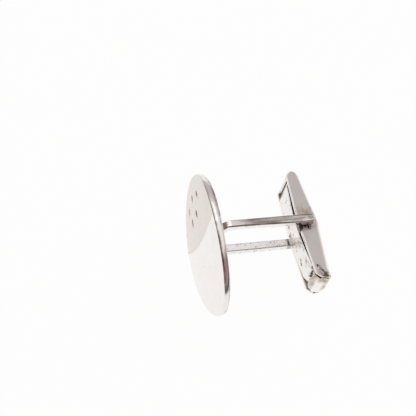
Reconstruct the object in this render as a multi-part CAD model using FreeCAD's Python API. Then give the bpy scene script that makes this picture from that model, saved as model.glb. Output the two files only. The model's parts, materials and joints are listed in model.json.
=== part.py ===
import FreeCAD, Part
import math
import os

Vector = FreeCAD.Vector

# A cufflink lying on a table: an oval face plate, a bridge bent from strip and a swivel toggle.
# It is built in the link's own axes, in mm: X runs from the back of the plate along the bridge
# to the toggle, Y along the toggle, Z along the hinge pin. The last lines lay it on the table.

# Face plate; the shifts are from the bridge's axis to the middle of the oval
plate_length = 19.7
plate_height = 14.6
plate_thickness = 0.8
dome_radius = 55.0
plate_rim_round = 0.3
plate_shift_y = -1.0
plate_shift_z = 0.8

# Bridge; the pin's distance and the bend's are from the back of the plate. Each bend is a flat slope
# between the leg and the foot, and the foot's half is from the bridge's axis to its slope
pin_distance = 14.15
strip_width = 1.2
strip_thickness = 1.0
bend_distance = 2.84
foot_half = 0.76
bend_outer_round = 0.7
bend_inner_round = 0.6
leg_past_pin = 0.6
leg_end_round = 0.3

# Toggle shell, folded from sheet; its depths are from the pin's axis at the middle of the toggle,
# and its slants say how much less deep the two sides are at the ends
toggle_length = 16.5
toggle_width = 4.8
sheet = 0.35
depth_to_plate = 1.17
depth_to_back = 1.83
plate_side_slant = 0.44
back_slant = 0.73
end_bevel = 0.45
end_fold_round = 0.7
long_fold_round = 0.55
tab_length = 0.95
tab_slit = 0.12

# Leaf spring: it stands a little out of the cheeks, and its ends are bent down under the tabs;
# the waist is how much narrower it is in the middle, to each side
leaf_thickness = 0.25
leaf_proud_middle = 0.13
leaf_proud_bends = 0.04
leaf_bend_before_lip = 1.4
leaf_under_lip = 0.15
leaf_side_gap = 0.12
leaf_end_gap = 0.3
leaf_waist = 0.28
leaf_waist_half = 5.0

# Hinge pin and the square cam on it
pin_diameter = 0.6
pin_head_diameter = 0.9
pin_head_height = 0.12
cam_corner_round = 0.15

# Clearances
cheek_gap = 0.2
pin_running_clearance = 0.03
leaf_seat_gap = 0.02
cam_side_clearance = 0.1

# Sizes that follow from the ones above
toggle_half = toggle_length / 2
cheek_outside = toggle_width / 2
cheek_inside = cheek_outside - sheet
leg_inside = cheek_outside + cheek_gap
leg_outside = leg_inside + strip_thickness
leg_length = pin_distance + leg_past_pin
back_radius = dome_radius - plate_thickness
inner_edge_middle = pin_distance - depth_to_plate
inner_edge_ends = inner_edge_middle + plate_side_slant
inner_slope = plate_side_slant / toggle_half
back_ridge = pin_distance + depth_to_back
back_ends = back_ridge - back_slant
back_slope = back_slant / toggle_half
tab_lip = toggle_half - tab_length
leaf_crown = inner_edge_middle - leaf_proud_middle
pin_head_ball = ((pin_head_diameter / 2) ** 2 + pin_head_height ** 2) / (2 * pin_head_height)
cam_across_flats = 2 * (pin_distance - leaf_crown - leaf_thickness - leaf_seat_gap)


def flat_wire(points, z):
    """Closed wire of straight lines through points of one level."""
    return Part.makePolygon([Vector(x, y, z) for x, y in points + points[:1]])


def slab(points, half_width):
    """Solid with that outline in X and Y, the same width to both sides of Z = 0."""
    return Part.Face(flat_wire(points, -half_width)).extrude(Vector(0, 0, 2 * half_width))


def rod(radius, half_length):
    """Round bar on the pin's axis."""
    return Part.makeCylinder(radius, 2 * half_length, Vector(pin_distance, 0, -half_length))


def inner_edge(y):
    """Depth of the cheeks' edge on the plate's side."""
    return inner_edge_middle + inner_slope * abs(y)


def back_inside(y):
    """Depth of the inner face of the toggle's back."""
    return back_ridge - sheet * math.hypot(1, back_slope) - back_slope * abs(y)


def line_of_arcs(stations):
    """Closed wire: each station is a line's end point, or an arc's middle and end point."""
    edges = []
    here = stations[-1][-1]
    for station in stations:
        if len(station) == 1:
            edges.append(Part.makeLine(here, station[0]))
        else:
            edges.append(Part.Arc(here, station[0], station[1]).toShape())
        here = station[-1]
    return Part.Wire(edges)


def dome_ball(radius):
    """Ball about the centre of the plate's dome; the back radius gives the hollow back of the plate."""
    return Part.makeSphere(radius, Vector(back_radius, plate_shift_y, plate_shift_z))


def make_face_plate():
    """Oval cut from a domed sheet, with both rim edges rounded."""
    depth = 3 * plate_thickness
    centre = Vector(-depth, plate_shift_y, plate_shift_z)
    long_end = centre + Vector(0, plate_length / 2, 0)
    short_end = centre + Vector(0, 0, plate_height / 2)
    oval = Part.Wire(Part.Ellipse(long_end, short_end, centre).toShape())
    blank = Part.Face(oval).extrude(Vector(2 * depth, 0, 0))
    plate = blank.common(dome_ball(dome_radius)).cut(dome_ball(back_radius))
    rim = [edge for edge in plate.Edges if edge.BoundBox.YLength > plate_length / 2]
    return plate.makeFillet(plate_rim_round, rim)


def make_bridge():
    """Strip folded to a U, its foot filed to the hollow of the plate, its ends drilled for the pin."""
    slope = math.hypot(bend_distance, leg_outside - foot_half)
    out_x = -(leg_outside - foot_half) / slope
    out_z = bend_distance / slope
    inner_bend = bend_distance - strip_thickness * (1 - out_z) / out_x
    inner_foot = foot_half - strip_thickness * (1 + out_x) / out_z
    outer_folds = [(bend_distance, leg_outside), (0, foot_half)]
    inner_folds = [(strip_thickness, inner_foot), (inner_bend, leg_inside)]
    half = [(leg_length, leg_outside)] + outer_folds
    inner_half = inner_folds + [(leg_length, leg_inside)]
    outline = half + [(x, -z) for x, z in half[::-1]]
    outline += [(x, -z) for x, z in inner_half[::-1]] + inner_half
    wire = Part.makePolygon([Vector(x, -strip_width / 2, z) for x, z in outline + outline[:1]])
    strip = Part.Face(wire).extrude(Vector(0, strip_width, 0))

    def edges_at(places):
        return [
            edge for edge in strip.Edges for x, z in places
            if edge.BoundBox.YLength > strip_width / 2
            and math.hypot(edge.BoundBox.Center.x - x, abs(edge.BoundBox.Center.z) - z) < 0.001
        ]

    strip = strip.makeFillet(bend_outer_round, edges_at(outer_folds))
    strip = strip.makeFillet(bend_inner_round, edges_at(inner_folds))
    corners = [
        edge for edge in strip.Edges
        if edge.BoundBox.XMin > leg_length - 0.01 and edge.BoundBox.ZLength > strip_thickness / 2
    ]
    strip = strip.makeFillet(leg_end_round, corners)
    return strip.common(dome_ball(back_radius)).cut(rod(pin_diameter / 2, leg_outside + 1))


def make_hinge_pin():
    """Rivet through both legs, hammered to a low round head at each end."""
    radius = pin_diameter / 2
    head = pin_head_diameter / 2
    top = leg_outside + pin_head_height
    middle = head / 2
    middle_top = top - pin_head_ball + math.sqrt(pin_head_ball ** 2 - middle ** 2)

    def at(x, z):
        return Vector(pin_distance + x, 0, z)

    stations = [
        [at(0, top)],
        [at(middle, middle_top), at(head, leg_outside)],
        [at(radius, leg_outside)],
        [at(radius, -leg_outside)],
        [at(head, -leg_outside)],
        [at(middle, -middle_top), at(0, -top)],
    ]
    half_section = Part.Face(line_of_arcs(stations))
    return half_section.revolve(at(0, 0), Vector(0, 0, 1), 360)


def make_detent_cam():
    """Square block fixed on the pin; the leaf spring lies on one of its flats."""
    half = cam_across_flats / 2
    half_width = cheek_inside - cam_side_clearance
    block = Part.makeBox(
        cam_across_flats, cam_across_flats, 2 * half_width, Vector(pin_distance - half, -half, -half_width)
    )
    corners = [edge for edge in block.Edges if edge.BoundBox.ZLength > half_width]
    return block.makeFillet(cam_corner_round, corners).cut(rod(pin_diameter / 2, leg_outside))


def make_toggle_shell():
    """Long box folded from one sheet, open towards the plate, with a tab turned over at each end."""
    bevel_edge = inner_edge(toggle_half - end_bevel)
    half_outline = [
        (bevel_edge, toggle_half - end_bevel),
        (inner_edge_ends + end_bevel, toggle_half),
        (back_ends, toggle_half),
        (back_ridge, 0),
    ]
    mirrored = [(x, -y) for x, y in half_outline[2::-1]]
    outline = half_outline + mirrored + [(inner_edge_middle, 0)]
    body = slab(outline, cheek_outside)
    end_corners = [
        edge for edge in body.Edges
        if edge.BoundBox.ZLength > cheek_outside and abs(edge.BoundBox.Center.x - back_ends) < 0.01
    ]
    body = body.makeFillet(end_fold_round, end_corners)
    flap_body = body.copy()
    long_folds = [
        edge for edge in body.Edges
        if edge.BoundBox.ZLength < 0.01 and edge.BoundBox.YLength > toggle_half / 2
        and edge.BoundBox.XMax > back_ends + 0.1
    ]
    body = body.makeFillet(long_fold_round, long_folds)

    past_end = toggle_half + 1
    before_edge = inner_edge_middle - 1
    channel = [
        (before_edge, -past_end),
        (before_edge, past_end),
        (back_inside(past_end), past_end),
        (back_inside(0), 0),
        (back_inside(past_end), -past_end),
    ]
    shell = body.cut(slab(channel, cheek_inside))

    pocket_outline = flat_wire(outline, -cheek_outside).makeOffset2D(-sheet, 2)
    pocket = Part.Face(pocket_outline).extrude(Vector(0, 0, toggle_width))
    flap_half = cheek_inside - tab_slit
    ends = [(before_edge, tab_lip), (before_edge, past_end), (back_ridge, past_end), (back_ridge, tab_lip)]
    for side in (1, -1):
        end_block = slab([(x, side * y) for x, y in ends], flap_half)
        shell = shell.fuse(flap_body.common(end_block).cut(pocket))
    shell = shell.removeSplitter()
    return shell.cut(rod(pin_diameter / 2 + pin_running_clearance, cheek_outside + 1))


def make_leaf_spring():
    """Strip bowed over the cam, narrower in the middle, its ends bent down under the tabs."""
    bend = tab_lip - leaf_bend_before_lip
    bend_depth = inner_edge(bend) - leaf_proud_bends
    lip_depth = inner_edge(tab_lip) + sheet * math.hypot(1, inner_slope) + leaf_under_lip
    end = toggle_half - sheet - leaf_end_gap
    end_depth = bend_depth + (lip_depth - bend_depth) / (tab_lip - bend) * (end - bend)
    half_width = cheek_inside - leaf_side_gap

    def at(x, y):
        return Vector(x, y, -half_width)

    stations = [
        [at(leaf_crown, 0), at(bend_depth, bend)],
        [at(end_depth, end)],
        [at(end_depth + leaf_thickness, end)],
        [at(bend_depth + leaf_thickness, bend)],
        [at(leaf_crown + leaf_thickness, 0), at(bend_depth + leaf_thickness, -bend)],
        [at(end_depth + leaf_thickness, -end)],
        [at(end_depth, -end)],
        [at(bend_depth, -bend)],
    ]
    strip = Part.Face(line_of_arcs(stations)).extrude(Vector(0, 0, 2 * half_width))
    waist_radius = (leaf_waist_half ** 2 + leaf_waist ** 2) / (2 * leaf_waist)
    for side in (1, -1):
        middle = Vector(leaf_crown - 1, 0, side * (half_width - leaf_waist + waist_radius))
        strip = strip.cut(Part.makeCylinder(waist_radius, 4, middle, Vector(1, 0, 0)))
    return strip


nodes = {
    "face_plate": make_face_plate(),
    "bridge": make_bridge(),
    "hinge_pin": make_hinge_pin(),
    "detent_cam": make_detent_cam(),
    "toggle_shell": make_toggle_shell(),
    "leaf_spring": make_leaf_spring(),
}

# The link lies on the back edge of the plate's rim, a round, and on the pin's lower head, part of a
# ball. It is turned about Y until both are level, then moved so that the origin is under its middle,
# on the table.
rim_height = plate_height / 2 - plate_rim_round
rim_back = back_radius - math.sqrt((back_radius + plate_rim_round) ** 2 - rim_height ** 2)
head_drop = rim_height - plate_shift_z - (leg_outside + pin_head_height - pin_head_ball)
head_reach = pin_distance - rim_back
head_turn = math.asin((pin_head_ball - plate_rim_round) / math.hypot(head_drop, head_reach))
rest_tilt = math.degrees(math.atan2(head_drop, head_reach) - head_turn)
for shape in nodes.values():
    shape.rotate(Vector(0, 0, 0), Vector(0, 1, 0), rest_tilt)
whole = Part.makeCompound(list(nodes.values())).optimalBoundingBox()
to_origin = Vector(-whole.Center.x, -whole.Center.y, -whole.ZMin)

os.makedirs("parts", exist_ok=True)
for name, shape in nodes.items():
    shape.translate(to_origin)
    shape.exportStep("parts/" + name + ".step")
    print(name, "solids", len(shape.Solids), "valid", shape.isValid(), "mm3", round(shape.Volume, 3))
print("rest tilt", round(rest_tilt, 4), "moved by", [round(value, 4) for value in to_origin])
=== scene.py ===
import json
import math

import bpy
import numpy as np
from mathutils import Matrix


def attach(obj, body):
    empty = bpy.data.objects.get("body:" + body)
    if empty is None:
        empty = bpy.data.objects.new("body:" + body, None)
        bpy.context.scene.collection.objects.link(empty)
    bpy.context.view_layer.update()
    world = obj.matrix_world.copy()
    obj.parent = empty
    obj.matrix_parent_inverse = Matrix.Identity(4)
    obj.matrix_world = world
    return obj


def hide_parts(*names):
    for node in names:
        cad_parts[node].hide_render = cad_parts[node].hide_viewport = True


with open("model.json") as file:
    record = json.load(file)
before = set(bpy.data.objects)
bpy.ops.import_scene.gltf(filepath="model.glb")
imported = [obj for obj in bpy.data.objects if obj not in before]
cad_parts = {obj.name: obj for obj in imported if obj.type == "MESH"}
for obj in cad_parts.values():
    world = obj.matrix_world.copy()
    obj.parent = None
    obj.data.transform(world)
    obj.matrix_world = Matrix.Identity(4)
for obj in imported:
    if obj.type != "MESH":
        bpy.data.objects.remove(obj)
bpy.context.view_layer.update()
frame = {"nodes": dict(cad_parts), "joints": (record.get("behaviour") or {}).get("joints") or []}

# A silver cufflink lying on a white table. Every surface is worked out in the link's own axes, in mm:
# X runs from the back of the plate along the bridge to the toggle, Y along the toggle, Z along the hinge pin.

# Face plate
plate_half_length = 9.769
plate_half_height = 7.225
plate_thickness = 0.8
dome_radius = 55.0
rim_front_round = 0.16
rim_back_round = 0.17
rim_bow = math.radians(20)
rim_swell = 0.25
swell_rise = (-6.0, 4.0)
swell_fall = (5.0, 9.5)
swell_loss = 0.9
plate_middle = np.array([-1.08, 0.8])
plate_turn = math.radians(2.5)

# Bridge
pin_distance = 14.15
strip_width = 1.2
strip_thickness = 1.0
strip_edge_round = 0.2
bend_distance = 2.84
foot_half = 0.76
foot_outer_round = 0.7
foot_inner_round = 0.6
crease_distance = 3.3
crease_drop = 0.08
crease_round = 0.5
bend_corner_round = 0.25
inner_bend_before = 0.8
inner_bend_past = 0.05
inner_bend_drop = 0.1
inner_bend_round = 2.0
inner_corner_round = 0.8
leg_length = 14.9
leg_end_round = 0.18
leg_inside = 2.6
leg_trim = 0.13
leg_trim_run = (4.0, 13.0)

# Toggle shell
toggle_half = 8.25
cheek_outside = 2.4
sheet = 0.35
sheet_edge_round = 0.07
edge_burr = 0.13
burr_depth = 0.35
burr_half = 6.6
inner_edge_middle = 12.98
upper_edge_end = 13.42
lower_edge_end = 13.27
back_ridge = 15.97
back_ends = 15.25
upper_bevel = 0.62
lower_bevel = 0.6
upper_fold_round = 0.9
lower_fold_round = 0.6
long_fold_round = 0.55
bevel_round = 0.4
upper_lip_round = 0.45
upper_end_round = 0.85
upper_stretch = 0.14
ridge_round = 3.0
upper_lip = 7.4
lower_lip = 7.3
tab_lip_half = 1.72
cut_lip_half = 1.2
tab_slit = 0.12
tab_lip_round = 0.12
tab_run = 1.1
tab_wedge = 0.32
wedge_run = (1.2, 1.45)
flap_edge_round = 0.03
end_wall_depth = 14.2
end_wall_start = 7.93
seam_gap = 0.01
cheek_end_run = 0.6
cheek_end_round = 0.05
end_run = 1.2
end_lean = 0.55
end_lean_middle = 0.45
end_lean_reach = 3.3

# Leaf spring
leaf_half_width = 1.86
leaf_shift = -0.1
leaf_waist = 0.33
leaf_far_waist = 0.04
leaf_waist_half = 5.0
leaf_thickness = 0.25
leaf_crown = 12.85
leaf_bow_radius = 60.0
leaf_bend = 5.9
leaf_upper_bend = 6.25
leaf_bend_depth = 13.2547
leaf_end_depth = 13.93
leaf_upper_depth = 13.85
leaf_bend_round = 0.8
leaf_end = 7.6
leaf_corner_round = 0.3
leaf_edge_round = 0.06

# Hinge pin
pin_radius = 0.3
pin_head_radius = 0.45
pin_head_height = 0.06
pin_head_oval = 0.65
pin_head_sink = 0.02
# Wavers of a head's outline as (waves round it, share of the radius, phase)
pin_head_wavers = ((3, 0.03, 0.6), (5, 0.02, 2.0))

# Steps of the plate's surface
steps_around_plate = 480
plate_front_steps = 112
plate_back_steps = 26
rim_round_steps = 9
rim_bow_steps = 11

# Sizes that follow from the ones above
back_radius = dome_radius - plate_thickness
turned_plate = np.array([
    [math.cos(plate_turn), math.sin(plate_turn)], [-math.sin(plate_turn), math.cos(plate_turn)],
])
leg_outside = leg_inside + strip_thickness
cheek_inside = cheek_outside - sheet
flap_half = cheek_inside - tab_slit
back_slope = (back_ridge - back_ends) / toggle_half

# The pin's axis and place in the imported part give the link's axes on the table
swivel = frame["joints"][0]
pin_axis = np.array(swivel["axis"])
along_bridge = np.array([pin_axis[2], 0.0, -pin_axis[0]])
link_axes = np.stack([along_bridge, [0.0, 1.0, 0.0], pin_axis])
link_origin = np.array(swivel["pos_m"]) - along_bridge * pin_distance * 0.001
lying_tilt = math.atan2(pin_axis[0], pin_axis[2])


def lay(points):
    """Places points on the table, in metres: the link's origin plus each coordinate along its own axis."""
    return link_origin + points @ link_axes * 0.001


def smooth_step(value, low, high):
    """0 below low, 1 above high, and 3 t squared less 2 t cubed between."""
    t = np.clip((value - low) / (high - low), 0.0, 1.0)
    return t * t * (3 - 2 * t)


def quarter_inset(distance, radius):
    """How far a round corner has moved in, that far before its end: the radius less the circle's half chord."""
    left = np.clip(radius - distance, 0.0, radius)
    return radius - np.sqrt(radius ** 2 - left ** 2)


def rounded_loop(half_wide, half_thick, radius, side_steps=8, corner_steps=6):
    """Outline of a bar's section: a quarter circle at each corner, and straight sides cut into equal steps."""
    turn = np.arange(4)[:, None] * math.pi / 2 + np.linspace(0, math.pi / 2, corner_steps)
    sides_of = np.array([[1, 1], [-1, 1], [-1, -1], [1, -1]])
    middles = sides_of * np.array([half_wide - radius, half_thick - radius])
    corners = middles[:, None] + radius * np.stack([np.cos(turn), np.sin(turn)], axis=-1)
    last, following = corners[:, -1:], np.roll(corners[:, :1], -1, axis=0)
    share = np.linspace(0, 1, side_steps + 1)[1:-1, None]
    straights = last + share * (following - last)
    return np.concatenate([corners, straights], axis=1).reshape(-1, 2)


def rounded_line(corners, radii, arc_steps, straight_steps):
    """Line through corner points with an arc in each inner corner: points and unit normals to its left.
    An arc of radius r starts r times the tangent of half the turn before the corner."""
    corners = np.asarray(corners, float)
    ways = np.diff(corners, axis=0)
    ways /= np.linalg.norm(ways, axis=1, keepdims=True)
    heading = np.unwrap(np.arctan2(ways[:, 1], ways[:, 0]))
    turn = np.diff(heading)
    radii = np.asarray(radii, float)
    reach = radii * np.tan(np.abs(turn) / 2)
    angle = heading[:-1, None] + turn[:, None] * np.linspace(0, 1, arc_steps)
    side = np.sign(turn)[:, None]
    left = np.stack([-np.sin(angle), np.cos(angle)], axis=-1)
    start = corners[1:-1] - ways[:-1] * reach[:, None]
    centre = start + left[:, 0] * side * radii[:, None]
    arcs = centre[:, None] - left * (side * radii[:, None])[..., None]
    begins = np.concatenate([corners[:1], arcs[:, -1]])
    ends = np.concatenate([arcs[:, 0], corners[-1:]])
    points, normals = [], []
    for number, steps in enumerate(straight_steps):
        share = np.linspace(0, 1, steps + 1)[:, None]
        points.append(begins[number] + share * (ends[number] - begins[number]))
        straight_left = np.array([-ways[number, 1], ways[number, 0]])
        normals.append(np.broadcast_to(straight_left, points[-1].shape))
        if number < len(arcs):
            points.append(arcs[number, 1:-1])
            normals.append(left[number, 1:-1])
    return np.concatenate(points), np.concatenate(normals)


def dome(flat, radius):
    """Depth of a ball's near side over points of the plate: the ball's centre less the half chord there."""
    return back_radius - np.sqrt(radius ** 2 - (flat ** 2).sum(axis=-1))


# Engraving of the plate: seed cuts as (y, z, angle in degrees), and the arc between its two finishes
seed_cuts = np.array([
    [5.9, -1.9, 8.0], [6.6, 0.4, 0.0], [5.9, 2.7, -8.0], [3.6, -0.8, 5.0], [3.6, 1.6, -5.0],
])
seed_half_length = 0.75
seed_half_width = 0.36
seed_depth = 0.24
arc_middle = np.array([16.6, 2.0])
arc_radius = 16.8
arc_half_width = 0.16
arc_depth = 0.05


def arc_offset(flat):
    """Distance of points of the plate from the engraved arc, positive inside it."""
    return arc_radius - np.linalg.norm(flat - arc_middle, axis=-1)


def cut_depth(flat):
    """Depth of the engraving: a boat-shaped cut falls off evenly to its sides and roundly to its ends,
    and the arc is a shallow groove with a round section."""
    away = flat[..., None, :] - seed_cuts[:, :2]
    angle = np.radians(seed_cuts[:, 2])
    along = away[..., 0] * np.cos(angle) + away[..., 1] * np.sin(angle)
    across = away[..., 1] * np.cos(angle) - away[..., 0] * np.sin(angle)
    width = seed_half_width * np.sqrt(np.clip(1 - (along / seed_half_length) ** 2, 1e-9, 1))
    seeds = seed_depth * (width / seed_half_width * np.clip(1 - np.abs(across) / width, 0, 1)).max(axis=-1)
    groove = arc_depth * np.clip(1 - (arc_offset(flat) / arc_half_width) ** 2, 0, 1)
    return np.maximum(seeds, groove)


def on_plate(points):
    """Y and Z of points as the plate has them: from its own middle and along its own axes, which are turned
    a little about the bridge's axis, as the plate was soldered."""
    return (points[..., 1:] - plate_middle) @ turned_plate.T


def rim_thickening(flat):
    """How much thicker the rim was left: rising from the lower end to the upper half, and nearly gone
    at the tip."""
    y = flat[..., 0]
    return rim_swell * smooth_step(y, *swell_rise) * (1 - swell_loss * smooth_step(y, *swell_fall))


def plate_rings():
    """Rings from the middle of the front over the rim to the middle of the back: the oval, drawn in at the rim
    and shrunk evenly towards the two middles, on the front and back domes. The rim's section is three arcs that
    run into each other: a corner round, a wide bow and the other corner round. The rim was left thicker along
    the plate's upper half."""
    turn = np.linspace(0, 2 * math.pi, steps_around_plate, endpoint=False)
    oval = np.stack([plate_half_length * np.cos(turn), plate_half_height * np.sin(turn)], axis=-1)
    inward = -np.stack([plate_half_height * np.cos(turn), plate_half_length * np.sin(turn)], axis=-1)
    inward /= np.linalg.norm(inward, axis=-1, keepdims=True)
    sine, cosine = math.sin(rim_bow), math.cos(rim_bow)
    bow_radius = (plate_thickness - (rim_front_round + rim_back_round) * (1 - sine)) / (2 * sine)
    front_turn = np.linspace(-math.pi / 2, -rim_bow, rim_round_steps)
    bow_turn = np.linspace(-rim_bow, rim_bow, rim_bow_steps)[1:-1]
    back_turn = np.linspace(rim_bow, math.pi / 2, rim_round_steps)
    rim_depth = np.concatenate([
        rim_front_round * (1 + np.sin(front_turn)),
        rim_front_round * (1 - sine) + bow_radius * (sine + np.sin(bow_turn)),
        plate_thickness - rim_back_round * (1 - np.sin(back_turn)),
    ])
    rim_reach = np.concatenate([
        rim_front_round * (np.cos(front_turn) - cosine),
        bow_radius * (np.cos(bow_turn) - cosine),
        rim_back_round * (np.cos(back_turn) - cosine),
    ])
    rim_inset = bow_radius * (1 - cosine) - rim_reach
    front, back = np.linspace(0.008, 1, plate_front_steps), np.linspace(1, 0.02, plate_back_steps)
    shrink = np.concatenate([front[:-1], np.ones(len(rim_depth)), back[1:]])
    inset = np.concatenate([np.full(len(front) - 1, rim_inset[0]), rim_inset, np.full(len(back) - 1, rim_inset[-1])])
    depth = np.concatenate([np.zeros(len(front) - 1), rim_depth, np.full(len(back) - 1, plate_thickness)])
    flat = shrink[:, None, None] * (oval + inset[:, None, None] * inward)
    near, far = dome(flat, dome_radius), dome(flat, back_radius)
    swell = rim_thickening(flat) * smooth_step(shrink, 0.6, 1.0)[:, None]
    x = near + depth[:, None] / plate_thickness * (far - near + swell)
    x = x + np.where(depth[:, None] == 0, cut_depth(flat), 0)
    return np.concatenate([x[..., None], flat @ turned_plate + plate_middle], axis=-1)


def leg_narrowing(x, z):
    """How far the upper leg's near side is filed in: all of it by the plate, and none by the toggle."""
    return leg_trim * smooth_step(z, 0.0, 1.5) * (1 - smooth_step(x, *leg_trim_run))


def bridge_rings():
    """Round-edged section of the strip carried along its folded U. Each ring runs between a point of the outer
    line and the same point of the inner line, and narrows to the leg's round end. The upper leg is filed a
    little narrower on its near side towards the plate."""
    slope = math.hypot(bend_distance, leg_outside - foot_half)
    out_x, out_z = -(leg_outside - foot_half) / slope, bend_distance / slope
    inner_bend = bend_distance - strip_thickness * (1 - out_z) / out_x
    inner_foot = foot_half - strip_thickness * (1 + out_x) / out_z
    straight_end = leg_length - leg_end_round

    def folded(corners, radii):
        """Rounded line through the corners of one leg and back through their mirror images on the other."""
        there_and_back = corners + [(x, -z) for x, z in corners[::-1]]
        return rounded_line(there_and_back, radii + radii[::-1], arc_steps=12,
                            straight_steps=[100, 8, 26, 14, 26, 8, 100])[0]

    outer = folded([
        (straight_end, leg_outside), (crease_distance, leg_outside), (bend_distance, leg_outside - crease_drop),
        (0, foot_half),
    ], [crease_round, bend_corner_round, foot_outer_round])
    inner = folded([
        (straight_end, leg_inside), (inner_bend + inner_bend_before, leg_inside),
        (inner_bend - inner_bend_past, leg_inside - inner_bend_drop), (strip_thickness, inner_foot),
    ], [inner_bend_round, inner_corner_round, foot_inner_round])
    cap = leg_end_round * np.cos(np.linspace(0, math.pi / 2, 8))[:-1]

    def with_caps(line):
        """The line with steps added at both ends, as far apart as a quarter circle's cosines."""
        first = np.stack([straight_end + cap, np.full(len(cap), line[0, 1])], axis=-1)
        last = np.stack([straight_end + cap[::-1], np.full(len(cap), line[-1, 1])], axis=-1)
        return np.concatenate([first, line, last])

    outer, inner = with_caps(outer), with_caps(inner)
    middle, across = (outer + inner) / 2, outer - inner
    number = np.arange(len(outer))
    near_end = np.where(np.minimum(number, number[::-1]) < len(cap), outer[:, 0], straight_end)
    from_end = leg_length - near_end
    loop = rounded_loop(strip_width / 2, strip_thickness / 2, strip_edge_round)
    wide_share = 1 - quarter_inset(from_end, leg_end_round) / (strip_width / 2)
    thick_share = 1 - quarter_inset(from_end, strip_edge_round) / (strip_thickness / 2)
    trim = leg_narrowing(*middle.T)
    wide = loop[:, 0] * (wide_share[:, None] - (loop[:, 0] < 0) * trim[:, None] / (strip_width / 2))
    thick = loop[:, 1] / strip_thickness * thick_share[:, None]
    return np.stack([
        middle[:, :1] + thick * across[:, :1], wide, middle[:, 1:] + thick * across[:, 1:],
    ], axis=-1)


def pin_rings():
    """Rivet turned about its axis: a low crowned head, a straight shank, and a head again. The heads are
    hammered to ovals along the legs, and their outline wavers round the axis."""
    ball = (pin_head_radius ** 2 + pin_head_height ** 2) / (2 * pin_head_height)
    head = np.linspace(0.04, 1, 12) * pin_head_radius
    head_z = leg_outside + pin_head_height - ball + np.sqrt(ball ** 2 - head ** 2)
    radius = np.concatenate([head, [pin_radius, pin_radius], head[::-1]])
    narrow = np.concatenate([np.full(len(head), pin_head_oval), [1.0, 1.0], np.full(len(head), pin_head_oval)])
    sunk = leg_outside - pin_head_sink
    z = np.concatenate([head_z, [sunk, -sunk], -head_z[::-1]])
    turn = np.linspace(0, 2 * math.pi, 64, endpoint=False)
    waver = 1 - sum(share * (1 + np.cos(waves * turn + phase)) for waves, share, phase in pin_head_wavers)
    reach = radius[:, None] * waver
    return np.stack([
        pin_distance + reach * np.cos(turn), narrow[:, None] * reach * np.sin(turn),
        np.broadcast_to(z[:, None], reach.shape),
    ], axis=-1)


def at_end(y, lower, upper):
    """The lower end's value where y is negative, the upper end's elsewhere."""
    return np.where(y < 0, lower, upper)


def end_corners(edge_end, bevel, lip):
    """Corners of an end's outline, seen from the side, as (depth, distance along the toggle): lip, bevel, end and
    back."""
    slope = (edge_end - inner_edge_middle) / toggle_half
    start = toggle_half - bevel
    return [
        (inner_edge_middle + slope * lip, lip),
        (inner_edge_middle + slope * start, start),
        (edge_end + bevel, toggle_half),
        (back_ends, toggle_half),
    ]


def inner_edge(y):
    """Depth of a cheek's edge on the plate's side, read off its rounded outline: a slow slope, then the bevel of
    the end."""
    def depth(edge_end, bevel, radii):
        """Depth of one end's outline, without its back corner, at the same distance along the toggle."""
        corners = end_corners(edge_end, bevel, lip=0.0)
        line = rounded_line(corners, radii, arc_steps=14, straight_steps=[1, 6, 1])[0][:-1]
        return np.interp(np.abs(y), line[:, 1], line[:, 0])

    return at_end(y, depth(lower_edge_end, lower_bevel, [bevel_round, bevel_round]),
                  depth(upper_edge_end, upper_bevel, [upper_lip_round, upper_end_round]))


def leaned(points):
    """The lower end leans outwards to the back: its points move along the toggle by their depth behind the bevel,
    less by the square of their distance from a line near the middle of the width. The upper end is stretched
    a little."""
    x, y, z = np.moveaxis(points, -1, 0)
    bevel_end = lower_edge_end + lower_bevel
    depth = np.clip((x - bevel_end) / (back_ends - bevel_end), 0, 1)
    across = 1 - ((z - end_lean_middle) / end_lean_reach) ** 2
    y = y - end_lean * depth * across * smooth_step(-y, toggle_half - end_run, toggle_half)
    y = y + upper_stretch * smooth_step(y, toggle_half - end_run, toggle_half)
    return np.stack([x, y, z], axis=-1)


def from_ends(path):
    """Distance of each point of a path from its nearer end, measured along it."""
    run = np.concatenate([[0], np.linalg.norm(np.diff(path, axis=0), axis=1).cumsum()])
    return np.minimum(run, run[-1] - run)


def carried(path, left, thick, wide):
    """Rings of a section carried along a path of (depth, distance along the toggle): each point stands off the
    path by its thickness along the left normal, and by its width along the pin."""
    off = path[:, None] + left[:, None] * thick[..., None]
    return np.concatenate([off, wide[..., None]], axis=-1)


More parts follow.
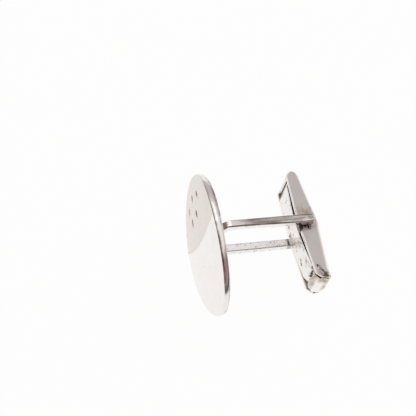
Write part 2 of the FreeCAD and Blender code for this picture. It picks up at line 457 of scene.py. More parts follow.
def flap_rings():
    """The back of the toggle and its two end flaps: one strip of sheet carried along the side outline,
    from the lip of one tab over the bevel, the end and the back to the other lip. The upper tab narrows evenly to
    its lip on the far side. The lower one's far side is cut back but meets the cheek at the end, and a wedge
    opens between its near side and the cheek."""
    lower = [(x, -y) for x, y in end_corners(lower_edge_end, lower_bevel, lower_lip)[::-1]]
    corners = end_corners(upper_edge_end, upper_bevel, upper_lip) + [(back_ridge, 0.0)] + lower
    radii = [
        upper_lip_round, upper_end_round, upper_fold_round, ridge_round, lower_fold_round, bevel_round, bevel_round,
    ]
    path, left = rounded_line(corners, radii, arc_steps=14, straight_steps=[8, 6, 16, 80, 80, 16, 6, 8])
    from_end = from_ends(path)
    loop = rounded_loop(flap_half, sheet / 2, flap_edge_round, side_steps=24, corner_steps=3)
    thick = loop[:, 1] * (1 - quarter_inset(from_end, tab_lip_round)[:, None] / sheet) - sheet / 2
    narrow = np.clip(1 - from_end / tab_run, 0, 1)
    wedge = tab_wedge * np.clip(from_end / wedge_run[0], 0, 1) * (1 - smooth_step(from_end, *wedge_run))
    near_half = flap_half - at_end(path[:, 1], wedge, 0.0)
    in_end_wall = (path[:, 0] < end_wall_depth) | (path[:, 1] < -end_wall_start)
    far_full = np.where((path[:, 1] < 0) & in_end_wall, cheek_inside - seam_gap, flap_half)
    far_half = far_full - narrow * (far_full - at_end(path[:, 1], cut_lip_half, tab_lip_half))
    half = np.where(loop[:, 0] > 0, near_half[:, None], far_half[:, None])
    wide = loop[:, 0] / flap_half * half
    return leaned(carried(path, left, thick, wide))


def cheek_rings(side):
    """One cheek with its long fold, as sections across the toggle: the outer face, the fold's quarter round,
    a narrow margin of the back, and the inner face. The section follows the cheek's edge and the back. Where it
    is shallow, at the ends, the fold, the back's thickness and the edge's round keep to shares of its depth. A
    burr thickens the edge inwards, most in the middle of the toggle."""
    fold_share, under_share, edge_share, margin_lead = 0.75, 0.25, 0.2, 0.02
    span = np.linspace(-1, 1, 241)
    ease = np.linspace(0, 1, 12)
    near_end = toggle_half - cheek_end_run * (1 - np.sin(ease * math.pi / 2))
    y = np.concatenate([-near_end[::-1], span[1:-1] * (toggle_half - cheek_end_run), near_end])
    slant = math.atan(back_slope)
    end_round = at_end(y, lower_fold_round, upper_fold_round)
    fold_start = toggle_half - end_round * (1 - math.sin(slant))
    back = back_ridge - back_slope * np.abs(y)
    fold_middle = back_ridge - back_slope * fold_start - end_round * math.cos(slant)
    over = np.clip(np.abs(y) - (toggle_half - end_round), 0, end_round)
    folded = fold_middle + np.sqrt(end_round ** 2 - over ** 2)
    back = np.where(np.abs(y) > fold_start, folded, back)
    front = inner_edge(y)
    depth = back - front
    fold = np.minimum(long_fold_round, fold_share * depth)
    under = np.maximum(back - sheet, front + under_share * depth)
    margin = np.where(np.abs(y) > fold_start - margin_lead, cheek_inside, flap_half)

    quarter = np.linspace(0, math.pi / 2, 10)
    lip = np.linspace(0, math.pi / 2, 5)
    share = np.linspace(0, 1, 22)[1:-1]
    edge = np.minimum(sheet_edge_round, edge_share * depth)
    face = np.ones((len(y), len(share)))
    f, b, r, u, m, e = (value[:, None] for value in (front, back, fold, under, margin, edge))
    sections = [
        (f + e - e * np.sin(lip), cheek_inside + e - e * np.cos(lip)),
        (f + e - e * np.cos(lip), cheek_outside - e + e * np.sin(lip)),
        (f + e + share * (b - r - f - e), cheek_outside * face),
        (b - r + r * np.sin(quarter), np.maximum(cheek_outside - r + r * np.cos(quarter), m)),
        (b, m), (u, m), (u, cheek_inside * face[:, :1]),
        (u - share * (u - f - e), cheek_inside * face),
    ]
    x, z = (np.concatenate(parts, axis=1) for parts in zip(*sections))
    inset = quarter_inset(toggle_half - np.abs(y), cheek_end_round)[:, None]
    middle = (cheek_inside + cheek_outside) / 2
    z = middle + (z - middle) * (1 - inset / (sheet / 2))
    from_edge = np.clip((x - f) / burr_depth, 0, 1)
    along = np.clip(1 - (y / burr_half) ** 2, 0, 1)[:, None]
    inner_share = np.clip((cheek_outside - z) / sheet, 0, 1)
    z = z - edge_burr * along * inner_share * (1 - from_edge) ** 2
    return leaned(np.stack([x, np.broadcast_to(y[:, None], x.shape), side * z], axis=-1))


# Small dents in the leaf as (y, z, radius, depth)
leaf_dents = np.array([
    [4.7, 0.15, 0.2, 0.03], [3.0, 0.7, 0.35, 0.025], [1.45, -0.97, 0.28, 0.045], [0.2, -1.35, 0.3, 0.04],
    [-0.6, 0.5, 0.4, 0.025], [-1.9, -0.4, 0.3, 0.03], [-3.2, 0.9, 0.35, 0.03], [-3.96, -0.69, 0.2, 0.05],
    [-4.48, -1.0, 0.22, 0.04], [-5.3, 0.4, 0.4, 0.04], [5.4, -0.8, 0.3, 0.02],
    [-1.75, -0.6, 0.4, 0.05], [-2.35, 0.55, 0.4, 0.05],
])


def leaf_rings():
    """Strip bowed over the cam, with its ends bent down under the tabs: its section is carried along that line,
    narrows to a waist and to round corners at the ends, and its face is dented by small bell curves."""
    corners = [
        (leaf_end_depth, -leaf_end), (leaf_bend_depth, -leaf_bend), (leaf_crown, 0.0),
        (leaf_bend_depth, leaf_upper_bend), (leaf_upper_depth, leaf_end),
    ]
    radii = [leaf_bend_round, leaf_bow_radius, leaf_bend_round]
    path, left = rounded_line(corners, radii, arc_steps=40, straight_steps=[24, 50, 50, 24])
    from_end = from_ends(path)
    loop = rounded_loop(leaf_half_width, leaf_thickness / 2, leaf_edge_round, side_steps=56, corner_steps=5)
    in_waist = np.minimum(np.abs(path[:, 1:]), leaf_waist_half)
    waist_share = 1 - (in_waist / leaf_waist_half) ** 2
    inset = np.where(loop[:, 0] > 0, leaf_waist, leaf_far_waist) * waist_share
    inset = inset + quarter_inset(from_end, leaf_corner_round)[:, None]
    wide = loop[:, 0] * (1 - inset / leaf_half_width) + leaf_shift
    edge = quarter_inset(from_end, leaf_edge_round)[:, None]
    thick = loop[:, 1] * (1 - edge / (leaf_thickness / 2)) - leaf_thickness / 2
    away = (path[:, None, 1:] - leaf_dents[:, 0]) ** 2 + (wide[..., None] - leaf_dents[:, 1]) ** 2
    dents = (leaf_dents[:, 3] * np.exp(-away / leaf_dents[:, 2] ** 2)).sum(axis=-1)
    thick = thick - dents * (thick / leaf_thickness + 1)
    return carried(path, left, thick, wide)


def closed_skin(rings):
    """Points and faces over rings of points: quads between neighbours, and a fan in the first and last ring.
    The signed volume under the faces tells which way they point, and they are turned to face outwards."""
    count, around = rings.shape[:2]
    ends = rings[[0, -1]].mean(axis=1)
    points = np.concatenate([rings.reshape(-1, 3), ends])
    here = np.arange(count * around).reshape(count, around)
    ahead = np.roll(here, -1, axis=1)
    quads = np.stack([here[:-1], ahead[:-1], ahead[1:], here[1:]], axis=-1).reshape(-1, 4)
    first = np.stack([ahead[0], here[0], np.full(around, count * around)], axis=-1)
    last = np.stack([here[-1], ahead[-1], np.full(around, count * around + 1)], axis=-1)
    triangles = np.concatenate([first, last, quads[:, [0, 1, 2]], quads[:, [0, 2, 3]]])
    a, b, c = np.moveaxis(points[triangles], 1, 0)
    if (a * np.cross(b, c)).sum() < 0:
        quads, first, last = quads[:, ::-1], first[:, ::-1], last[:, ::-1]
    return points, [quads, first, last]


def add_object(name, data):
    """A new object in the scene."""
    made = bpy.data.objects.new(name, data)
    bpy.context.scene.collection.objects.link(made)
    return made


# Edges sharper than this stay sharp
crease_angle = math.radians(40)


def add_piece(name, skins, material, body, node, marks):
    """One mesh object over closed skins, riding on a body in place of its solid. Marks are values per point
    that the material reads, each worked out by its own rule."""
    made = [closed_skin(rings) for rings in skins]
    starts = np.cumsum([0] + [len(points) for points, _ in made])
    points = np.concatenate([points for points, _ in made])
    faces = [face for start, (_, parts) in zip(starts, made) for part in parts for face in (part + start).tolist()]
    mesh = bpy.data.meshes.new(name)
    mesh.from_pydata(lay(points).tolist(), [], faces)
    mesh.polygons.foreach_set("use_smooth", np.ones(len(mesh.polygons), bool))
    mesh.set_sharp_from_angle(angle=crease_angle)
    for mark, rule in marks.items():
        values = np.ascontiguousarray(rule(points), np.float32)
        mesh.attributes.new(mark, "FLOAT", "POINT").data.foreach_set("value", values)
    mesh.materials.append(material)
    mesh.update()
    piece = add_object(name, mesh)
    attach(piece, body)
    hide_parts(node)


def place(tree, kind, inputs=(), **settings):
    """A new node with its settings made, and each input given a value or a link."""
    made = tree.nodes.new(kind)
    for key, value in settings.items():
        setattr(made, key, value)
    for key, value in dict(inputs).items():
        if isinstance(value, bpy.types.NodeSocket):
            tree.links.new(value, made.inputs[key])
        else:
            made.inputs[key].default_value = value
    return made


def new_material(name):
    """An empty node material: its tree, its Principled shader and its Object coordinates."""
    material = bpy.data.materials.new(name)
    material.use_nodes = True
    tree = material.node_tree
    tree.nodes.clear()
    shader = place(tree, "ShaderNodeBsdfPrincipled")
    place(tree, "ShaderNodeOutputMaterial", {"Surface": shader.outputs[0]})
    coordinates = place(tree, "ShaderNodeTexCoord").outputs["Object"]
    return material, tree, shader, coordinates


def calculate(tree, operation, *values):
    """Result of one Math node."""
    return place(tree, "ShaderNodeMath", dict(enumerate(values)), operation=operation).outputs[0]


def spread(tree, value, low, high, first=0.0, last=1.0):
    """Value carried smoothly from low and high to first and last."""
    inputs = {"Value": value, "From Min": low, "From Max": high, "To Min": first, "To Max": last}
    return place(tree, "ShaderNodeMapRange", inputs, interpolation_type="SMOOTHSTEP").outputs[0]


def blend_colours(tree, share, first, last):
    """Mix of two colours. The Mix node takes colours at its sockets 6 and 7 and gives one at 2."""
    mixed = place(tree, "ShaderNodeMix", data_type="RGBA")
    for socket, value in zip((mixed.inputs[0], mixed.inputs[6], mixed.inputs[7]), (share, first, last)):
        if isinstance(value, bpy.types.NodeSocket):
            tree.links.new(value, socket)
        else:
            socket.default_value = value if isinstance(value, float) else (*value, 1)
    return mixed.outputs[2]


def new_group(name, inputs, output):
    """An empty shader node group with named sockets: the group, its input sockets and its output socket."""
    group = bpy.data.node_groups.new(name, "ShaderNodeTree")
    for socket, kind in inputs.items():
        group.interface.new_socket(socket, in_out="INPUT", socket_type="NodeSocket" + kind)
    group.interface.new_socket(output, in_out="OUTPUT", socket_type="NodeSocketFloat")
    return group, place(group, "NodeGroupInput").outputs, place(group, "NodeGroupOutput").inputs[output]


def metal_lines_group():
    """Lines left by rolling, drawing and wear: noise stretched along the link's axes. Grain gives the length of
    its spots in metres along X, Y and Z."""
    group, given, result = new_group("metal_lines", {"Vector": "Vector", "Grain": "Vector"}, "Lines")
    turned = place(group, "ShaderNodeMapping", {
        "Vector": given["Vector"], "Rotation": (0, lying_tilt, 0), "Scale": given["Grain"],
    }, vector_type="TEXTURE")
    noise = place(group, "ShaderNodeTexNoise", {
        "Vector": turned.outputs[0], "Scale": 1.0, "Detail": 4.0, "Roughness": 0.6,
    })
    group.links.new(noise.outputs[0], result)
    return group


def specks_group():
    """Pits: a round spot in some cells of a random net. Each cell draws its spot's radius, and only the highest
    draws, as many as Share says, leave one. Size is a cell's width in metres."""
    group, given, result = new_group("specks", {"Vector": "Vector", "Size": "Float", "Share": "Float"}, "Specks")
    finer = calculate(group, "DIVIDE", 1.0, given["Size"])
    scaled = place(group, "ShaderNodeVectorMath", {0: given["Vector"], "Scale": finer}, operation="SCALE")
    cells = place(group, "ShaderNodeTexVoronoi", {"Vector": scaled.outputs[0], "Scale": 1.0})
    drawn = place(group, "ShaderNodeSeparateColor", {0: cells.outputs["Color"]}).outputs[0]
    over = calculate(group, "ADD", calculate(group, "SUBTRACT", drawn, 1.0), given["Share"])
    radius = calculate(group, "MULTIPLY", calculate(group, "DIVIDE", over, given["Share"]), 0.5)
    inside = calculate(group, "SUBTRACT", radius, cells.outputs["Distance"])
    group.links.new(spread(group, inside, 0.0, 0.16), result)
    return group


def tarnish_and_shade_group():
    """Clouds of tarnish, grime and painted shade: noise that passes a level, which falls as the mask rises. Size is
    the clouds' width in metres, and Softness how slowly they fade."""
    inputs = {"Vector": "Vector", "Mask": "Float", "Size": "Float", "Softness": "Float"}
    group, given, result = new_group("tarnish_and_shade", inputs, "Tarnish_and_shade")
    finer = calculate(group, "DIVIDE", 1.0, given["Size"])
    noise = place(group, "ShaderNodeTexNoise", {
        "Vector": given["Vector"], "Scale": finer, "Detail": 5.0, "Roughness": 0.62,
    })
    clouds = spread(group, noise.outputs[0], 0.25, 0.75)
    level = calculate(group, "SUBTRACT", 1.0, given["Mask"])
    low = calculate(group, "SUBTRACT", level, given["Softness"])
    passed = spread(group, clouds, low, calculate(group, "ADD", level, given["Softness"]))
    held = spread(group, given["Mask"], 0.0, 0.2)
    group.links.new(calculate(group, "MULTIPLY", passed, held), result)
    return group


metal_lines, specks, tarnish_and_shade = metal_lines_group(), specks_group(), tarnish_and_shade_group()
# Colours and cloud sizes of the brown and black marks: tarnish and grime, and on some pieces painted shade, painted
# shadow and painted reflection
brown_tarnish_and_shade = (0.24, 0.195, 0.17)
black_grime_and_shade = (0.035, 0.028, 0.024)
wave_grain = (0.0012, 0.0016, 0.0012)
stain_and_shade_size, stain_and_shade_softness = 0.0009, 0.8
grime_and_shade_size, grime_and_shade_softness = 0.00025, 0.2
pit_depth = 0.000006


def silver(name, colour, satin_and_sheen_colour, roughness, satin_roughness, grain, line_height, pit_size, pit_share,
           satin_pit_share, pit_dark, wave_height, cloud, tarnish_and_shade_colour=brown_tarnish_and_shade, smear=(1, 1, 1)):
    """Silver of one finish. Marks of the piece tell where it is satin, which on the sheet also paints a highlight,
    brown with tarnish and painted shade, or black with grime and painted shadow; fine lines, pits and slow waves
    roughen it. Smear stretches the stains and painted shade along the link's axes.
    Grain, sizes and heights are in metres."""
    material, tree, shader, coordinates = new_material(name)

    smeared = place(tree, "ShaderNodeMapping", {
        "Vector": coordinates, "Rotation": (0, lying_tilt, 0), "Scale": smear,
    }, vector_type="TEXTURE").outputs[0]

    def add_group(group, **inputs):
        """Output of a node group placed in this material."""
        return place(tree, "ShaderNodeGroup", {"Vector": coordinates, **inputs}, node_tree=group).outputs[0]

    def mark(attribute):
        """One of the piece's marks."""
        return place(tree, "ShaderNodeAttribute", attribute_name=attribute).outputs["Fac"]

    satin_and_sheen = mark("satin_and_sheen")
    lines = add_group(metal_lines, Grain=grain)
    waves = add_group(metal_lines, Grain=wave_grain)
    pits = add_group(specks, Size=pit_size, Share=spread(tree, satin_and_sheen, 0.0, 1.0, pit_share, satin_pit_share))
    # Brown is tarnish and painted shade, black is grime and painted shadow, as each piece's marks give them
    brown = add_group(tarnish_and_shade, Vector=smeared, Mask=mark("brown"), Size=stain_and_shade_size, Softness=stain_and_shade_softness)
    black = add_group(tarnish_and_shade, Mask=mark("black"), Size=grime_and_shade_size, Softness=grime_and_shade_softness)
    dark = calculate(tree, "MAXIMUM", black, calculate(tree, "MULTIPLY", pits, pit_dark))

    plain = blend_colours(tree, satin_and_sheen, colour, satin_and_sheen_colour)
    clouded = blend_colours(tree, spread(tree, waves, 0.3, 0.75, 0.0, cloud), plain, tarnish_and_shade_colour)
    stained_and_shaded = blend_colours(tree, brown, clouded, tarnish_and_shade_colour)
    tree.links.new(blend_colours(tree, dark, stained_and_shaded, black_grime_and_shade), shader.inputs["Base Color"])

    polish = spread(tree, satin_and_sheen, 0.0, 1.0, roughness, satin_roughness)
    streaked = calculate(tree, "MULTIPLY", polish, spread(tree, lines, 0.3, 0.7, 0.75, 1.25))
    dulled = calculate(tree, "ADD", streaked, calculate(tree, "MULTIPLY", dark, 0.3))
    tree.links.new(dulled, shader.inputs["Roughness"])
    tree.links.new(spread(tree, dark, 0.0, 1.0, 1.0, 0.3), shader.inputs["Metallic"])

    fine = calculate(tree, "MULTIPLY", lines, line_height)
    slow = calculate(tree, "MULTIPLY_ADD", waves, wave_height, fine)
    height = calculate(tree, "MULTIPLY_ADD", pits, -pit_depth, slow)
    bump = place(tree, "ShaderNodeBump", {"Height": height, "Distance": 1.0})
    tree.links.new(bump.outputs[0], shader.inputs["Normal"])
    return material


polished_silver = silver(
    "polished_silver", colour=(0.92, 0.885, 0.865), satin_and_sheen_colour=(0.79, 0.735, 0.695),
    roughness=0.2, satin_roughness=0.26, grain=(0.00005, 0.0016, 0.00012), line_height=0.0000004,
    pit_size=0.0006, pit_share=0.02, satin_pit_share=0.02, pit_dark=0.2, wave_height=0.000001, cloud=0.05,
)
strip_silver = silver(
    "strip_silver", colour=(0.92, 0.895, 0.885), satin_and_sheen_colour=(0.93, 0.925, 0.92),
    roughness=0.13, satin_roughness=0.28, grain=(0.0022, 0.00009, 0.00009), line_height=0.0000015,
    pit_size=0.00028, pit_share=0.3, satin_pit_share=0.95, pit_dark=0.4, wave_height=0.000003, cloud=0.07,
    smear=(3.5, 0.5, 0.5),
)
# Its satin colour is far lighter than its plain one: on the sheet the satin mark paints highlights as well as rubbed
# metal
sheet_silver = silver(
    "sheet_silver", colour=(0.63, 0.6, 0.585), satin_and_sheen_colour=(0.95, 0.915, 0.89),
    roughness=0.36, satin_roughness=0.22, grain=(0.00009, 0.0025, 0.00009), line_height=0.000002,
    pit_size=0.00035, pit_share=0.02, satin_pit_share=0.02, pit_dark=0.4, wave_height=0.000002, cloud=0.08,
    tarnish_and_shade_colour=(0.37, 0.27, 0.175), smear=(0.4, 0.7, 1.2),
)
spring_silver = silver(
    "spring_silver", colour=(0.92, 0.885, 0.86), satin_and_sheen_colour=(0.86, 0.81, 0.76),
    roughness=0.22, satin_roughness=0.34, grain=(0.0001, 0.0012, 0.00014), line_height=0.000004,
    pit_size=0.00045, pit_share=0.3, satin_pit_share=0.3, pit_dark=0.35, wave_height=0.00001, cloud=0.12,
    tarnish_and_shade_colour=(0.38, 0.29, 0.19),
)
inner_metal = silver(
    "inner_metal", colour=(0.45, 0.42, 0.39), satin_and_sheen_colour=(0.4, 0.37, 0.34),
    roughness=0.4, satin_roughness=0.45, grain=(0.0002, 0.0002, 0.002), line_height=0.000003,
    pit_size=0.0004, pit_share=0.3, satin_pit_share=0.3, pit_dark=0.5, wave_height=0.000004, cloud=0.2,
)


def patch(points, middle, radii):
    """Soft spot: a bell curve of the distance from its middle, measured in its radii."""
    return np.exp(-(((points - middle) / radii) ** 2).sum(axis=-1))


def plate_satin(points):
    """Satin of the front inside the engraved arc: a quick step over the arc's groove."""
    flat = on_plate(points)
    front = points[:, 0] < dome(flat, dome_radius) + plate_thickness / 3
    return front * smooth_step(arc_offset(flat), -0.06, 0.06)


# Painted shade along the rim's front edge, as stations of (place along the plate, amount)
rim_stations = np.array([
    [-8.0, 0.0], [-6.8, 0.9], [-5.4, 1.2], [-3.9, 0.8], [-2.4, 0.7], [-1.0, 0.35], [2.7, 0.15], [7.0, 0.0],
])


def plate_brown(points):
    """Tarnish round the foot of the bridge, on the back of the plate, and painted shade on the rim that darkens it
    as its
    reflections would: a line along its front edge, by its stations, a wider one along its back edge and a faint cast
    between, but for a stretch below the bridge that is left bright as a painted highlight."""
    x, flat = points[:, 0], on_plate(points)
    behind = smooth_step(x, -0.05, 0.0)
    near = dome(flat, dome_radius)
    # Painted shade on the rim: a faint cast over its wall, its back edge and its front edge
    wall = smooth_step(x - near, 0.1, 0.16)
    at_rim = ((flat / (plate_half_length, plate_half_height)) ** 2).sum(axis=-1) > 0.95
    back_edge = smooth_step((x - near) / (plate_thickness + rim_thickening(flat)), 0.56, 0.81)
    back_edge = back_edge * (0.5 - 0.35 * smooth_step(-flat[:, 0], -2.0, 2.0))
    front_edge = smooth_step(x - near, 0.0, 0.04) * (1 - smooth_step(x - near, 0.14, 0.3))
    front_edge = front_edge * np.interp(flat[:, 0], *rim_stations.T)
    foot = 0.7 * behind * patch(points[:, 1:], (0, 0), (1.3, 1.7))
    # Painted highlight: a stretch of the rim below the bridge kept free of the painted shade
    painted_highlight = np.exp(-((flat[:, 0] + 2.8) / 1.4) ** 2)
    return foot + (front_edge + (0.06 * wall + back_edge) * (1 - painted_highlight)) * at_rim


# Painted reflection along the upper leg's outer face, as stations of (distance from the plate, amount)
leg_stations = np.array([
    [2.9, 0.14], [3.5, 0.12], [4.4, 0.24], [5.4, 0.44], [6.5, 0.8], [8.1, 0.84], [9.4, 0.62], [10.9, 0.64],
    [14.8, 0.7],
])


def strip_brown(points):
    """Painted reflection on the upper leg's outer face, by its stations, but for a streak beside the rivet left
    bright as a painted highlight; a painted dark reflection on the round of its near edge; brown on the slopes of
    the bends; and painted shade beside the toggle on the lower leg."""
    x, y, z = points.T
    outer_face = smooth_step(z, leg_outside - 0.12, leg_outside - 0.03)
    rise = leg_outside - crease_drop - foot_half
    outside = (bend_distance * (np.abs(z) - foot_half) - rise * x) / math.hypot(bend_distance, rise)
    slope = 1.2 * smooth_step(bend_distance - x, 0.0, 0.15) * smooth_step(outside, -0.15, -0.04)
    # Painted highlight: a streak beside the rivet kept free of the painted reflection
    painted_highlight = 0.95 * patch(points[:, :2], (14.0, -0.32), (1.0, 0.2))
    near_edge = leg_narrowing(x, z) - strip_width / 2 + strip_edge_round
    # Painted dark reflection along the round of the near edge
    edge = smooth_step(near_edge - y, -0.04, 0.04) * smooth_step(z, leg_outside - 0.2, leg_outside - 0.13)
    edge = edge * (1.15 - 0.8 * smooth_step(x, 10.5, 13.0)) * (x > bend_distance)
    # Painted reflection along the outer face, by the stations
    face = outer_face * np.interp(x, *leg_stations.T) * (x > bend_distance) * (1 - painted_highlight)
    # Painted shade on the lower leg where it runs in beside the toggle
    shade_beside_toggle = 0.7 * smooth_step(x, 12.68, 12.78) * (z < 0)
    return np.maximum(face, edge) + slope + shade_beside_toggle


def strip_satin(points):
    """Satin, speckled metal of the whole lower leg."""
    return smooth_step(-points[:, 2], leg_inside - 0.2, leg_inside - 0.05)


def strip_black(points):
    """Grime in the corner between the foot and the plate."""
    return 0.5 * smooth_step(0.3 - points[:, 0], 0.0, 0.3)


def sheet_grime_and_shadow(points):
    """Grime and painted shadow packed beside the upper leg's end, painted shadow on the cheek's edge there, and
    grime along a line that slants over the cheek's lower end, in that end's outer corner, and at the far tip of the
    end flap."""
    # Grime together with the painted shadow of the gap beneath the upper leg's end
    grime_and_shadow_by_leg = 0.605 * np.exp(-(((points - (13.7, -0.58, cheek_outside)) / (1.15, 0.6, 0.5)) ** 4).sum(axis=-1))
    x, y, z = points.T
    from_line = (0.894 * (x - 13.65) + 0.447 * (y + 6.3)) / 0.28
    band = 0.62 * np.exp(-from_line ** 2 - ((z - cheek_outside) / 0.4) ** 2) * smooth_step(-y, 6.0, 6.6)
    outer_corner = 0.66 * patch(points, (14.6, -8.2, cheek_outside), (0.8, 0.45, 0.4))
    tip = patch(points, (14.25, -8.2, -2.15), (0.22, 0.22, 0.25))
    # Painted shadow of the gap between the leg's end and the cheek's edge
    shadow_on_edge = 0.58 * patch(points, (13.0, -1.0, cheek_outside), (0.3, 0.6, 0.5))
    return np.clip(grime_and_shadow_by_leg + shadow_on_edge + np.maximum(band, outer_corner) + tip, 0, 1)


def sheet_brown(points):
    """Tarnish on the lower tab, on the end flap, round the upper leg's end and at the lower end of the cheek, and a
    painted dark reflection on the end flap's back corner."""
    x, y, z = points.T
    tab = 0.6 * smooth_step(-y, 7.1, 7.2) * smooth_step(13.8 - x, 0.0, 0.3) * (np.abs(z) < cheek_inside)
    flap = 1.3 * patch(points, (14.2, -8.35, 1.45), (0.75, 0.5, 0.55))
    # Painted dark reflection in the round fold at the lower end's back corner
    painted_reflection_corner = 1.1 * patch(points, (15.05, -8.6, -0.4), (0.35, 0.4, 0.9))
    near_leg = 0.65 * patch(points, (14.0, 0.7, cheek_outside), (1.9, 1.5, 0.6))
    low_end = 0.6 * patch(points, (14.4, -8.1, cheek_outside), (0.8, 0.6, 0.5))
    return np.clip(tab + flap + painted_reflection_corner + near_leg + low_end, 0, 1)


def sheet_satin_and_highlight(points):
    """Where the sheet is rubbed bright and painted lighter as a highlight: the cheeks' edges, the long folds, most
    on the lower half, and the folded ends with their tabs."""
    x, y, z = points[:, 0], points[:, 1], np.abs(points[:, 2])
    # Rubbed metal and painted highlight along the cheeks' edges, the long folds and the ends
    edge = smooth_step(inner_edge(y) + 0.14 - x, 0.0, 0.1)
    fold_start = back_ridge - back_slope * np.abs(y) - long_fold_round
    fold = smooth_step(x - fold_start, at_end(y, -0.08, 0.0), at_end(y, 0.12, 0.25))
    ends = smooth_step(np.abs(y), toggle_half - 1.4, toggle_half - 1.2) * (z < cheek_inside - 0.05)
    return np.clip(edge + fold + ends, 0, 1)


# Stains on the leaf as (y, z, radius, amount)
leaf_stains = np.array([
    [-6.6, 1.4, 0.55, 0.8], [-0.7, -1.2, 0.7, 0.4], [1.45, -0.97, 0.3, 0.7], [0.2, -1.4, 0.4, 0.7],
    [-3.96, -0.69, 0.25, 0.7], [-4.48, -1.0, 0.25, 0.7], [4.7, 0.15, 0.2, 0.7], [-2.2, 0.6, 0.8, 0.15],
    [-5.2, 0.6, 0.7, 0.4],
])


def leaf_brown(points):
    """Stains of the leaf: the sum of bell curves."""
    bells = patch(points[:, None, 1:], leaf_stains[:, :2], leaf_stains[:, 2:3])
    return np.clip((leaf_stains[:, 3] * bells).sum(axis=-1), 0, 1)


def leaf_shadow_and_grime(points):
    """Painted shadow on the leaf along the lower tab's lip, and specks of grime in the stains."""
    # Painted shadow of the lower tab's lip
    lip = 0.85 * patch(points[:, 1:], (-6.75, 0.0), (0.3, 0.8))
    return np.clip(lip + 0.6 * leaf_brown(points), 0, 1)


def rivet_brown(points):
    """Painted reflection of the upper head, a little less than the leg's."""
    return 0.55 * smooth_step(points[:, 2], 3.0, 3.5)


add_piece("face_plate_skin", [plate_rings()], polished_silver, "link", "face_plate",
          {"satin_and_sheen": plate_satin, "brown": plate_brown})
strip_marks = {"brown": strip_brown, "satin_and_sheen": strip_satin, "black": strip_black}
add_piece("bridge_strip", [bridge_rings()], strip_silver, "link", "bridge", strip_marks)
add_piece("rivet", [pin_rings()], strip_silver, "link", "hinge_pin", {"brown": rivet_brown})
add_piece("toggle_box", [flap_rings(), cheek_rings(1), cheek_rings(-1)], sheet_silver, "toggle", "toggle_shell",
          {"brown": sheet_brown, "black": sheet_grime_and_shadow, "satin_and_sheen": sheet_satin_and_highlight})
add_piece("leaf_strip", [leaf_rings()], spring_silver, "toggle", "leaf_spring",
          {"brown": leaf_brown, "black": leaf_shadow_and_grime})
frame["nodes"]["detent_cam"].data.materials.clear()
frame["nodes"]["detent_cam"].data.materials.append(inner_metal)

# Camera: the photograph's place and lens, in the table's axes
camera_data = bpy.data.cameras.new("camera")
camera_data.sensor_fit = "HORIZONTAL"
camera_data.sensor_width = 36.0
camera_data.lens = 77.885
camera_data.clip_start = 0.005
camera_data.clip_end = 20.0
camera = add_object("camera", camera_data)
camera.location = (-0.0201132, -0.0560145, 0.1090958)
camera.rotation_euler = [math.radians(angle) for angle in (31.7041, -0.5754, -12.542)]
bpy.context.scene.camera = camera

# White table: paper that the camera and mirror images see evenly white, and that scatters light like matt paper
table_half = 1.5
paper_glow = 0.97
table_mesh = bpy.data.meshes.new("table")
table_corners = table_half * np.array([[-1, -1, 0], [1, -1, 0], [1, 1, 0], [-1, 1, 0]])
table_mesh.from_pydata(table_corners.tolist(), [], [(0, 1, 2, 3)])
table = add_object("table", table_mesh)
paper = bpy.data.materials.new("white_paper")
paper.use_nodes = True
paper_tree = paper.node_tree
paper_tree.nodes.clear()
rays = place(paper_tree, "ShaderNodeLightPath").outputs
seen = calculate(paper_tree, "MAXIMUM", rays["Is Camera Ray"], rays["Is Glossy Ray"])
seen = calculate(paper_tree, "MAXIMUM", seen, rays["Is Transmission Ray"])
matt = place(paper_tree, "ShaderNodeBsdfDiffuse", {"Color": (0.92, 0.92, 0.92, 1)})
glow = place(paper_tree, "ShaderNodeEmission", {"Color": (1, 1, 1, 1), "Strength": 1.0})
mixed = place(paper_tree, "ShaderNodeMixShader", {
    0: calculate(paper_tree, "MULTIPLY", seen, paper_glow), 1: matt.outputs[0], 2: glow.outputs[0],
})
place(paper_tree, "ShaderNodeOutputMaterial", {"Surface": mixed.outputs[0]})
table_mesh.materials.append(paper)

# Studio: white walls behind the table, a grey ceiling, and a dark room behind the camera and to the left
world = bpy.data.worlds.new("studio")
bpy.context.scene.world = world
world.use_nodes = True
studio_tree = world.node_tree
studio_tree.nodes.clear()
way = place(studio_tree, "ShaderNodeTexCoord").outputs["Generated"]
ahead = place(studio_tree, "ShaderNodeSeparateXYZ", {0: way}).outputs


def height_ramp(stops):
    """Colours by the height of a direction, from the horizon, 0, to overhead, 1. The first two stops are the
    ends."""
    ramp = place(studio_tree, "ShaderNodeValToRGB", {0: ahead[2]})
    for number, (height, colour) in enumerate(stops):
        elements = ramp.color_ramp.elements
        element = elements[number] if number < 2 else elements.new(height)
        element.position = height
        element.color = (*colour, 1)
    return ramp.outputs[0]


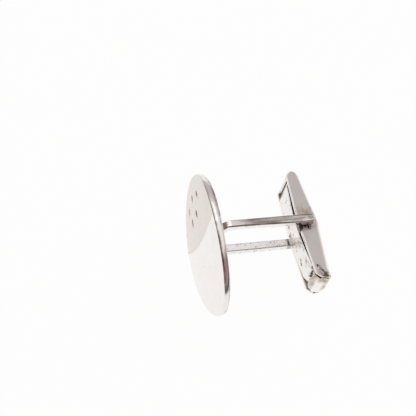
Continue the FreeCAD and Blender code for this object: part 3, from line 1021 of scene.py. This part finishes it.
white_side = height_ramp([
    (0.0, (0.6, 0.56, 0.56)), (1.0, (0.34, 0.32, 0.31)), (0.12, (0.56, 0.52, 0.52)), (0.5, (0.54, 0.5, 0.5)),
    (0.68, (0.78, 0.76, 0.76)), (0.78, (0.82, 0.8, 0.8)), (0.9, (0.42, 0.4, 0.38)),
])
dark_side = height_ramp([
    (0.0, (0.06, 0.05, 0.047)), (1.0, (0.34, 0.32, 0.31)), (0.16, (0.09, 0.07, 0.065)), (0.38, (0.42, 0.3, 0.27)),
    (0.58, (0.32, 0.185, 0.165)), (0.76, (0.35, 0.23, 0.21)), (0.88, (0.4, 0.34, 0.32)),
])
behind_camera = spread(studio_tree, calculate(studio_tree, "MULTIPLY", ahead[1], -1.0), 0.1, 0.34)


def soft_patch(middle, low, high):
    """1 round a direction, fading out as the cosine of the angle to it falls from high to low."""
    cosine = place(studio_tree, "ShaderNodeVectorMath", {0: way, 1: middle}, operation="DOT_PRODUCT")
    return spread(studio_tree, cosine.outputs["Value"], low, high)


# Patches of the studio as (direction, cosine where it ends, cosine where it is full, colour): the dark room on the
# left, a bright wall on the right, and bright screens overhead and behind the table
studio_patches = (
    ((-0.86, 0.38, 0.34), 0.66, 0.88, (0.27, 0.215, 0.2)),
    ((0.86, 0.48, 0.16), 0.9, 0.97, (0.86, 0.83, 0.82)),
    ((0.25, 0.06, 0.966), 0.84, 0.95, (0.9, 0.89, 0.88)),
    ((-0.12, 0.51, 0.85), 0.94, 0.98, (0.9, 0.88, 0.87)),
)
room = blend_colours(studio_tree, behind_camera, white_side, dark_side)
for direction, patch_end, patch_full, colour in studio_patches:
    room = blend_colours(studio_tree, soft_patch(direction, patch_end, patch_full), room, colour)
sky = place(studio_tree, "ShaderNodeBackground", {0: room, 1: 1.0})
place(studio_tree, "ShaderNodeOutputWorld", {0: sky.outputs[0]})

# Soft square lamp that looks at the link from above and behind it
lamp_place = np.array([0.05, 0.256, 0.427])
lamp_data = bpy.data.lights.new("key_lamp", "AREA")
lamp_data.size = 0.22
lamp_data.energy = 0.1
lamp = add_object("key_lamp", lamp_data)
lamp.location = lamp_place
lamp_back = lamp_place / np.linalg.norm(lamp_place)
lamp.rotation_euler = (math.acos(lamp_back[2]), 0, math.atan2(lamp_back[1], lamp_back[0]) + math.pi / 2)

bpy.context.scene.view_settings.view_transform = "Standard"
